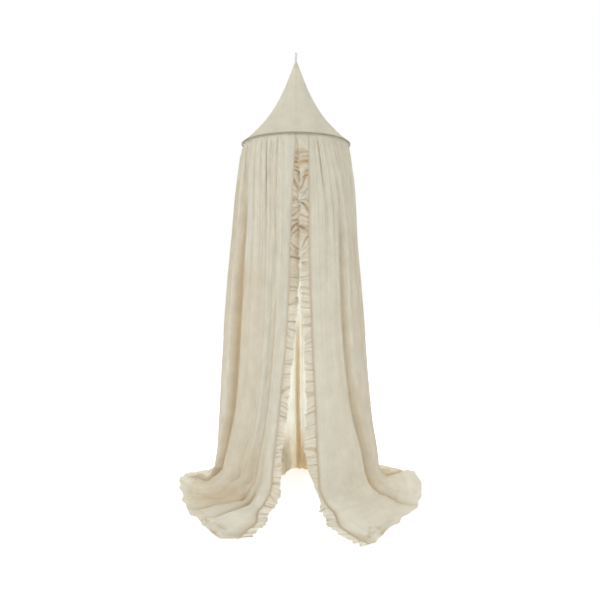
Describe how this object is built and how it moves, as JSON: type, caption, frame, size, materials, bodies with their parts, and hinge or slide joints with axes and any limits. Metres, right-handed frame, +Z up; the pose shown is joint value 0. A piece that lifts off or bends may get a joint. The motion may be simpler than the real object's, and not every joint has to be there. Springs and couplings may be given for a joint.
{
  "type": "mosquito net canopy with hoop",
  "caption": "Hanging bed canopy in plain muslin: cord loop, pointed cone top on a slim hoop, and a gathered skirt open at the front with ruffled edges and a hem trailing on the floor.",
  "frame": {"origin": "the point where the inside of the hanging loop bears on its hook, straight above the middle of the hoop", "axes": "+Z up, the front opening faces -Y, +X to the right as seen from the front; the floor is the plane z = -2.070"},
  "size_m": [1.2001, 1.3135, 2.0719],
  "materials": {
    "muslin": "matte woven cotton muslin, natural cream",
    "hoop_cover": "matte taupe cotton cover on a slim ring",
    "cord": "matte off-white cotton cord"
  },
  "bodies": {
    "root": {"hanging_loop": "cord", "cone_top": "muslin", "hoop": "hoop_cover", "skirt": "muslin", "ruffle_left": "muslin", "ruffle_right": "muslin"}
  },
  "joints": []
}
